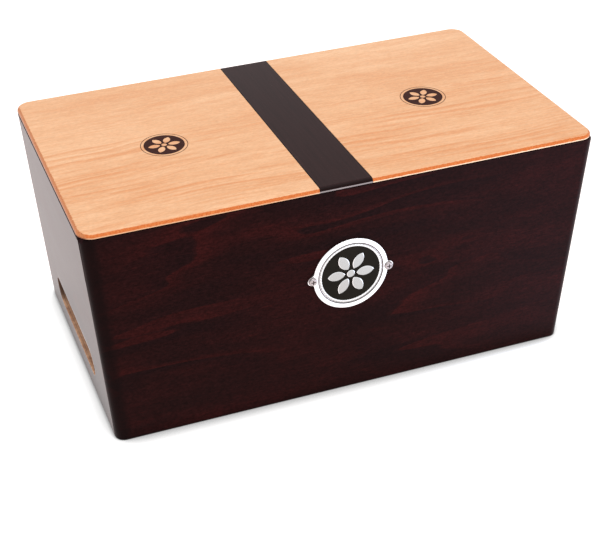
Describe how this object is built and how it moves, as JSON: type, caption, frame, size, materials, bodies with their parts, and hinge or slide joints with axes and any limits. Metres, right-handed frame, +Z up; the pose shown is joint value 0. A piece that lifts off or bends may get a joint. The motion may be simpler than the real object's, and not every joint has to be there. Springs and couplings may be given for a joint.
{
  "type": "bongo cajon",
  "caption": "Small wooden box drum held between the knees, with two light playing boards on top, a dark centre strip, port slots in the leaning ends and a round badge.",
  "frame": {"origin": "centre of the base, on the surface that the box stands on", "axes": "+X along the length, towards the larger voice; -Y towards the badge; +Z up"},
  "size_m": [0.4, 0.2291, 0.1841],
  "materials": {
    "stained_wood": "dark red-brown stain under satin lacquer outside, raw plywood inside",
    "playing_wood": "natural light veneer under satin lacquer",
    "strip_wood": "dark brown satin lacquer",
    "raw_wood": "raw sawn wood",
    "bright_metal": "polished",
    "black_enamel": "gloss",
    "grey_metal": "satin",
    "print_ink": "printed ink under lacquer"
  },
  "bodies": {
    "root": {"front_panel": "stained_wood", "back_panel": "stained_wood", "left_end_panel": "stained_wood", "right_end_panel": "stained_wood", "bottom_panel": "stained_wood", "left_soundboard": "playing_wood", "right_soundboard": "playing_wood", "centre_strip": "strip_wood", "centre_bearer": "raw_wood", "centre_divider": "raw_wood", "corner_post_front_left": "raw_wood", "corner_post_back_left": "raw_wood", "corner_post_front_right": "raw_wood", "corner_post_back_right": "raw_wood", "base_cleat_front_left": "raw_wood", "base_cleat_back_left": "raw_wood", "base_cleat_front_right": "raw_wood", "base_cleat_back_right": "raw_wood", "base_cleat_left_end": "raw_wood", "base_cleat_right_end": "raw_wood", "badge_plate": "bright_metal", "badge_inner_ring": "bright_metal", "badge_screws": "bright_metal", "badge_disc": "black_enamel", "badge_mark": "grey_metal", "left_emblem": "print_ink", "right_emblem": "print_ink"}
  },
  "joints": []
}
